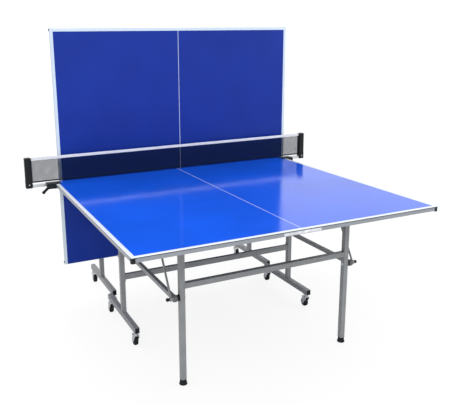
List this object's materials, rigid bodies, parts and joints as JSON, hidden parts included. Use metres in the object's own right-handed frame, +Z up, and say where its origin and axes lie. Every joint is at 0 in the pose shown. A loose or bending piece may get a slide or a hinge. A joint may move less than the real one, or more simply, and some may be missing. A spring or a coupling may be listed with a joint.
{
  "type": "table tennis table",
  "caption": "Folding table tennis table in two rollaway halves, one down with its net and one standing upright as a rebound board.",
  "frame": {"origin": "on the floor, under the middle of the whole table as it stands with one half raised", "axes": "+Z up, X along the net, +Y from the lowered half towards the raised half"},
  "size_m": [1.848, 1.6576, 1.6095],
  "materials": {
    "blue_surface": "semi-gloss moulded resin laminate with white border lines",
    "silver_rail": "satin powder coat, light grey",
    "grey_steel": "satin powder coat, mid grey",
    "dark_steel": "satin powder coat, dark grey",
    "zinc": "bright zinc plate",
    "black_plastic": "moulded, fine texture",
    "black_rubber": "matt",
    "net_cord": "knotted open mesh",
    "white_tape": "woven tape"
  },
  "bodies": {
    "near_trolley": {"near_trolley_frame": "grey_steel", "near_trolley_crossbar": "grey_steel", "near_bar_end_caps": "black_plastic", "near_trolley_pins": "zinc", "near_caster_mounts": "zinc"},
    "near_board": {"near_board_sheet": "blue_surface", "near_edge_rails": "silver_rail", "near_corner_caps": "black_plastic", "near_under_frame": "dark_steel", "near_hinge_brackets": "dark_steel", "near_stay_guides": "zinc", "net_mesh": "net_cord", "net_top_tape": "white_tape", "net_posts": "black_plastic", "net_clamps": "dark_steel"},
    "near_legs": {"near_leg_frame": "grey_steel", "near_leg_pins": "zinc"},
    "near_foot_left": {"near_foot_left": "black_rubber"},
    "near_foot_right": {"near_foot_right": "black_rubber"},
    "near_lock_knob_left": {"near_lock_knob_left": "black_plastic"},
    "near_lock_knob_right": {"near_lock_knob_right": "black_plastic"},
    "near_strut_pair": {"near_struts": "grey_steel"},
    "near_stay_pair": {"near_stays": "grey_steel"},
    "near_swivel_outer_left": {"near_fork_outer_left": "zinc"},
    "near_roller_outer_left": {"near_wheel_outer_left": "black_rubber"},
    "near_swivel_outer_right": {"near_fork_outer_right": "zinc"},
    "near_roller_outer_right": {"near_wheel_outer_right": "black_rubber"},
    "near_swivel_inner_left": {"near_fork_inner_left": "zinc"},
    "near_roller_inner_left": {"near_wheel_inner_left": "black_rubber"},
    "near_swivel_inner_right": {"near_fork_inner_right": "zinc"},
    "near_roller_inner_right": {"near_wheel_inner_right": "black_rubber"},
    "far_trolley": {"far_trolley_frame": "grey_steel", "far_trolley_crossbar": "grey_steel", "far_bar_end_caps": "black_plastic", "far_trolley_pins": "zinc", "far_caster_mounts": "zinc"},
    "far_board": {"far_board_sheet": "blue_surface", "far_edge_rails": "silver_rail", "far_corner_caps": "black_plastic", "far_under_frame": "dark_steel", "far_hinge_brackets": "dark_steel", "far_stay_guides": "zinc"},
    "far_legs": {"far_leg_frame": "grey_steel", "far_leg_pins": "zinc"},
    "far_foot_left": {"far_foot_left": "black_rubber"},
    "far_foot_right": {"far_foot_right": "black_rubber"},
    "far_lock_knob_left": {"far_lock_knob_left": "black_plastic"},
    "far_lock_knob_right": {"far_lock_knob_right": "black_plastic"},
    "far_strut_pair": {"far_struts": "grey_steel"},
    "far_stay_pair": {"far_stays": "grey_steel"},
    "far_swivel_outer_left": {"far_fork_outer_left": "zinc"},
    "far_roller_outer_left": {"far_wheel_outer_left": "black_rubber"},
    "far_swivel_outer_right": {"far_fork_outer_right": "zinc"},
    "far_roller_outer_right": {"far_wheel_outer_right": "black_rubber"},
    "far_swivel_inner_left": {"far_fork_inner_left": "zinc"},
    "far_roller_inner_left": {"far_wheel_inner_left": "black_rubber"},
    "far_swivel_inner_right": {"far_fork_inner_right": "zinc"},
    "far_roller_inner_right": {"far_wheel_inner_right": "black_rubber"},
    "net_lever_left": {"net_lever_left": "black_plastic"},
    "net_lever_right": {"net_lever_right": "black_plastic"}
  },
  "joints": [
    {"name": "near_board_fold", "type": "hinge", "parent": "near_trolley", "child": "near_board", "pos_m": [0, 0.06575, 0.715], "axis": [-1, 0, 0], "range_deg": [0, 90]},
    {"name": "near_leg_turn", "type": "hinge", "parent": "near_board", "child": "near_legs", "pos_m": [0, -0.55525, 0.715], "axis": [-1, 0, 0], "range_deg": [-90, 0]},
    {"name": "near_strut_turn", "type": "hinge", "parent": "near_trolley", "child": "near_strut_pair", "pos_m": [0, 0.06575, 0.43], "axis": [-1, 0, 0], "range_deg": [0, 90]},
    {"name": "near_stay_turn", "type": "hinge", "parent": "near_legs", "child": "near_stay_pair", "pos_m": [0, -0.55525, 0.43], "axis": [-1, 0, 0], "range_deg": [0, 147.01]},
    {"name": "near_foot_left_screw", "type": "hinge", "parent": "near_legs", "child": "near_foot_left", "pos_m": [-0.448, -0.55525, 0.026], "axis": [0, 0, 1], "continuous": true},
    {"name": "near_lock_knob_left_pull", "type": "slide", "parent": "near_legs", "child": "near_lock_knob_left", "axis": [-1, 0, 0], "range_m": [0, 0.008], "stiffness_N_per_m": 300},
    {"name": "near_foot_right_screw", "type": "hinge", "parent": "near_legs", "child": "near_foot_right", "pos_m": [0.448, -0.55525, 0.026], "axis": [0, 0, 1], "continuous": true},
    {"name": "near_lock_knob_right_pull", "type": "slide", "parent": "near_legs", "child": "near_lock_knob_right", "axis": [1, 0, 0], "range_m": [0, 0.008], "stiffness_N_per_m": 300},
    {"name": "near_swivel_outer_left_turn", "type": "hinge", "parent": "near_trolley", "child": "near_swivel_outer_left", "pos_m": [-0.527, -0.13025, 0.067], "axis": [0, 0, 1], "continuous": true},
    {"name": "near_wheel_outer_left_spin", "type": "hinge", "parent": "near_swivel_outer_left", "child": "near_roller_outer_left", "pos_m": [-0.527, -0.11525, 0.025], "axis": [1, 0, 0], "continuous": true},
    {"name": "near_swivel_outer_right_turn", "type": "hinge", "parent": "near_trolley", "child": "near_swivel_outer_right", "pos_m": [0.527, -0.13025, 0.067], "axis": [0, 0, 1], "continuous": true},
    {"name": "near_wheel_outer_right_spin", "type": "hinge", "parent": "near_swivel_outer_right", "child": "near_roller_outer_right", "pos_m": [0.527, -0.11525, 0.025], "axis": [1, 0, 0], "continuous": true},
    {"name": "near_swivel_inner_left_turn", "type": "hinge", "parent": "near_trolley", "child": "near_swivel_inner_left", "pos_m": [-0.527, 0.29575, 0.067], "axis": [0, 0, 1], "continuous": true},
    {"name": "near_wheel_inner_left_spin", "type": "hinge", "parent": "near_swivel_inner_left", "child": "near_roller_inner_left", "pos_m": [-0.527, 0.31075, 0.025], "axis": [1, 0, 0], "continuous": true},
    {"name": "near_swivel_inner_right_turn", "type": "hinge", "parent": "near_trolley", "child": "near_swivel_inner_right", "pos_m": [0.527, 0.29575, 0.067], "axis": [0, 0, 1], "continuous": true},
    {"name": "near_wheel_inner_right_spin", "type": "hinge", "parent": "near_swivel_inner_right", "child": "near_roller_inner_right", "pos_m": [0.527, 0.31075, 0.025], "axis": [1, 0, 0], "continuous": true},
    {"name": "far_board_fold", "type": "hinge", "parent": "far_trolley", "child": "far_board", "pos_m": [0.036, 0.60675, 0.715], "axis": [-1, 0, 0], "range_deg": [0, 90]},
    {"name": "far_leg_turn", "type": "hinge", "parent": "far_board", "child": "far_legs", "pos_m": [0.036, 0.60675, 1.336], "axis": [-1, 0, 0], "range_deg": [-90, 0]},
    {"name": "far_strut_turn", "type": "hinge", "parent": "far_trolley", "child": "far_strut_pair", "pos_m": [0.036, 0.60675, 0.43], "axis": [-1, 0, 0], "range_deg": [0, 90]},
    {"name": "far_stay_turn", "type": "hinge", "parent": "far_legs", "child": "far_stay_pair", "pos_m": [0.036, 0.60675, 1.051], "axis": [-1, 0, 0], "range_deg": [0, 147.01]},
    {"name": "far_foot_left_screw", "type": "hinge", "parent": "far_legs", "child": "far_foot_left", "pos_m": [-0.412, 0.60675, 0.647], "axis": [0, 0, 1], "continuous": true},
    {"name": "far_lock_knob_left_pull", "type": "slide", "parent": "far_legs", "child": "far_lock_knob_left", "axis": [-1, 0, 0], "range_m": [0, 0.008], "stiffness_N_per_m": 300},
    {"name": "far_foot_right_screw", "type": "hinge", "parent": "far_legs", "child": "far_foot_right", "pos_m": [0.484, 0.60675, 0.647], "axis": [0, 0, 1], "continuous": true},
    {"name": "far_lock_knob_right_pull", "type": "slide", "parent": "far_legs", "child": "far_lock_knob_right", "axis": [1, 0, 0], "range_m": [0, 0.008], "stiffness_N_per_m": 300},
    {"name": "far_swivel_outer_left_turn", "type": "hinge", "parent": "far_trolley", "child": "far_swivel_outer_left", "pos_m": [-0.491, 0.80275, 0.067], "axis": [0, 0, 1], "continuous": true},
    {"name": "far_wheel_outer_left_spin", "type": "hinge", "parent": "far_swivel_outer_left", "child": "far_roller_outer_left", "pos_m": [-0.491, 0.78775, 0.025], "axis": [1, 0, 0], "continuous": true},
    {"name": "far_swivel_outer_right_turn", "type": "hinge", "parent": "far_trolley", "child": "far_swivel_outer_right", "pos_m": [0.563, 0.80275, 0.067], "axis": [0, 0, 1], "continuous": true},
    {"name": "far_wheel_outer_right_spin", "type": "hinge", "parent": "far_swivel_outer_right", "child": "far_roller_outer_right", "pos_m": [0.563, 0.78775, 0.025], "axis": [1, 0, 0], "continuous": true},
    {"name": "far_swivel_inner_left_turn", "type": "hinge", "parent": "far_trolley", "child": "far_swivel_inner_left", "pos_m": [-0.491, 0.37675, 0.067], "axis": [0, 0, 1], "continuous": true},
    {"name": "far_wheel_inner_left_spin", "type": "hinge", "parent": "far_swivel_inner_left", "child": "far_roller_inner_left", "pos_m": [-0.491, 0.36175, 0.025], "axis": [1, 0, 0], "continuous": true},
    {"name": "far_swivel_inner_right_turn", "type": "hinge", "parent": "far_trolley", "child": "far_swivel_inner_right", "pos_m": [0.563, 0.37675, 0.067], "axis": [0, 0, 1], "continuous": true},
    {"name": "far_wheel_inner_right_spin", "type": "hinge", "parent": "far_swivel_inner_right", "child": "far_roller_inner_right", "pos_m": [0.563, 0.36175, 0.025], "axis": [1, 0, 0], "continuous": true},
    {"name": "far_trolley_roll", "type": "slide", "parent": "near_trolley", "child": "far_trolley", "axis": [0, 1, 0], "range_m": [0, 0.4312]},
    {"name": "net_lever_left_turn", "type": "hinge", "parent": "near_board", "child": "net_lever_left", "pos_m": [-0.8005, 0.48175, 0.746], "axis": [0, 1, 0], "range_deg": [0, 60]},
    {"name": "net_lever_right_turn", "type": "hinge", "parent": "near_board", "child": "net_lever_right", "pos_m": [0.8005, 0.48175, 0.746], "axis": [0, -1, 0], "range_deg": [0, 60]}
  ],
  "couplings": [
    {"joint": "near_leg_turn", "follows": "near_board_fold", "ratio": -1},
    {"joint": "near_strut_turn", "follows": "near_board_fold", "ratio": 1},
    {"joint": "near_stay_turn", "follows": "near_board_fold", "ratio": 1.6328},
    {"joint": "far_leg_turn", "follows": "far_board_fold", "ratio": -1},
    {"joint": "far_strut_turn", "follows": "far_board_fold", "ratio": 1},
    {"joint": "far_stay_turn", "follows": "far_board_fold", "ratio": 1.6328},
    {"joint": "far_trolley_roll", "follows": "far_board_fold", "m_per_rad": 0.27438}
  ]
}
